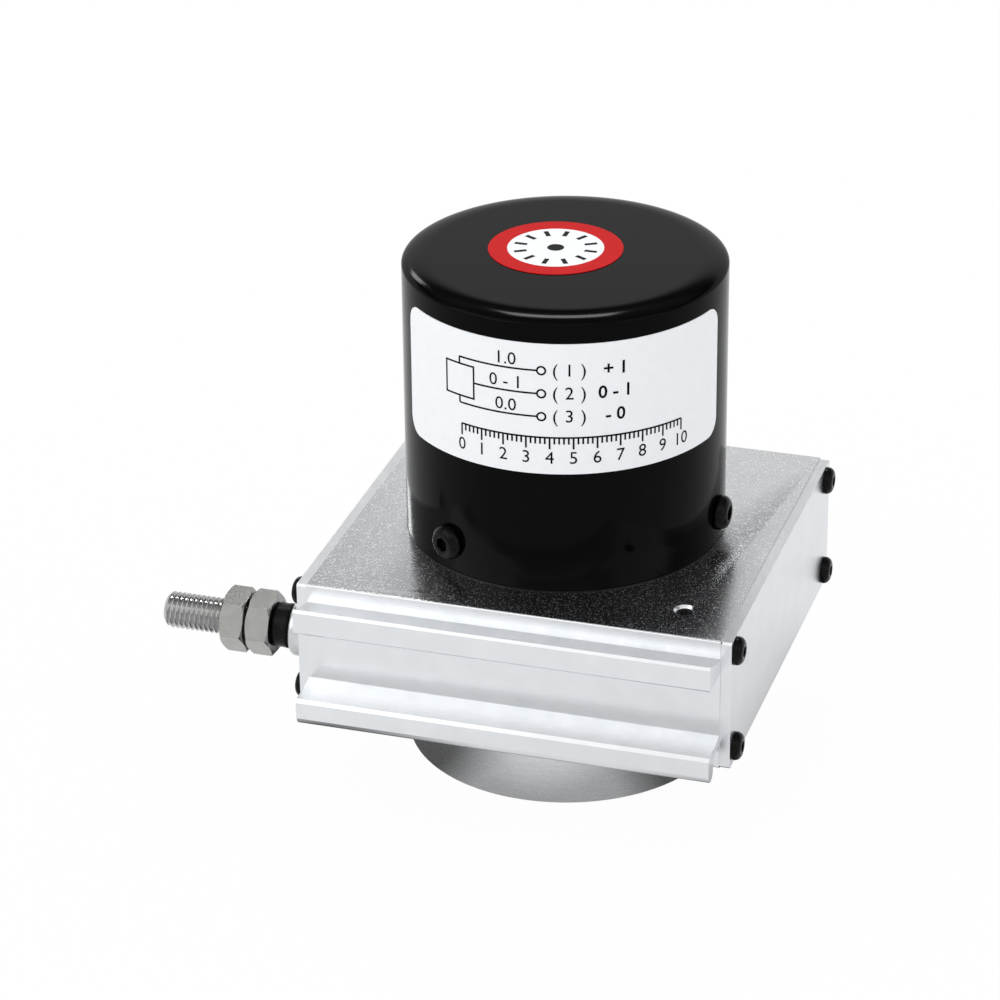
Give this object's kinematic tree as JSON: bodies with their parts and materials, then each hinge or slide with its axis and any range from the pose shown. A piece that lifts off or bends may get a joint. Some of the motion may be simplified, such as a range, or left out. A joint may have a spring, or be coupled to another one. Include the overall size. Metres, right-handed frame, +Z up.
{
  "type": "draw wire encoder",
  "caption": "Draw wire encoder: sprung cable drum in a railed extruded housing, round sensor cover above, spring can below and a threaded wire end.",
  "frame": {"origin": "centre of the spring can's flat bottom face, on the drum axis", "axes": "+Z up along the drum axis towards the cover, -X the way the wire is drawn out, -Y the side with the mounting rails"},
  "size_m": [0.115, 0.092, 0.1016],
  "materials": {
    "housing_aluminium": "satin anodised extrusion, bead-blasted top",
    "plate_aluminium": "fine satin",
    "can_aluminium": "satin, darker",
    "turned_aluminium": "machined",
    "carrier_black": "black anodised",
    "black_oxide": "glossy black oxide",
    "zinc_screws": "zinc plated",
    "nickel_nuts": "nickel plated",
    "stainless": "polished stainless",
    "wire_steel": "coated steel wire",
    "spring_steel": "blued spring steel",
    "bearing_steel": "ground",
    "cover_paint": "semi-gloss black",
    "label_white": "printed film",
    "label_red": "printed film",
    "black_rubber": "smooth",
    "gland_nylon": "moulded nylon",
    "ceramic": "glazed",
    "brass": "turned",
    "drum_aluminium": "turned",
    "board_green": "solder mask",
    "block_green": "moulded",
    "pot_blue": "moulded"
  },
  "bodies": {
    "root": {"housing": "housing_aluminium", "left_end_plate": "plate_aluminium", "right_end_plate": "plate_aluminium", "left_plate_screws": "black_oxide", "right_plate_screws": "black_oxide", "wire_outlet": "turned_aluminium", "guide_bush": "ceramic", "spring_can": "can_aluminium", "can_screws": "zinc_screws", "mainspring": "spring_steel", "lower_bearing_seat": "turned_aluminium", "seat_screws": "zinc_screws", "lower_bearing": "bearing_steel", "upper_bearing": "bearing_steel", "sensor_carrier": "carrier_black", "carrier_screws": "zinc_screws", "standoffs": "brass", "sensor_bracket": "turned_aluminium", "bracket_screws": "zinc_screws", "potentiometer": "pot_blue", "potentiometer_nut": "nickel_nuts", "board_spacers": "brass", "circuit_board": "board_green", "board_screws": "zinc_screws", "terminal_block": "block_green", "sensor_cover": "cover_paint", "cover_screws": "black_oxide", "side_label": "label_white", "top_label": "label_red", "cable_gland": "gland_nylon", "gland_seal": "black_rubber", "gland_dome_nut": "gland_nylon", "gland_lock_nut": "gland_nylon"},
    "drum": {"drum": "drum_aluminium", "drum_shaft": "stainless", "hub_spacers": "turned_aluminium", "hub_set_screws": "black_oxide", "wire_winding": "wire_steel", "bearing_races": "bearing_steel", "retaining_rings": "spring_steel", "spring_arbor": "stainless", "shaft_coupling": "turned_aluminium", "coupling_screws": "black_oxide", "potentiometer_shaft": "stainless"},
    "wire_end": {"wire_run": "wire_steel", "wire_ferrule": "stainless", "bumper": "black_rubber", "stud": "stainless", "inner_nut": "nickel_nuts"},
    "outer_nut": {"outer_nut": "nickel_nuts"}
  },
  "joints": [
    {"name": "wire_draw", "type": "slide", "parent": "root", "child": "wire_end", "axis": [-1, 0, 0], "range_m": [0, 2], "stiffness_N_per_m": 1.5, "springref_m": -3.3, "deforming": ["wire_run"]},
    {"name": "drum_spin", "type": "hinge", "parent": "root", "child": "drum", "pos_m": [0, 0, 0.0325], "axis": [0, 0, -1], "range_deg": [0, 3600]},
    {"name": "outer_nut_travel", "type": "slide", "parent": "wire_end", "child": "outer_nut", "axis": [-1, 0, 0], "range_m": [0, 0.01]}
  ],
  "couplings": [
    {"joint": "drum_spin", "follows": "wire_draw", "rad_per_m": 31.415}
  ]
}
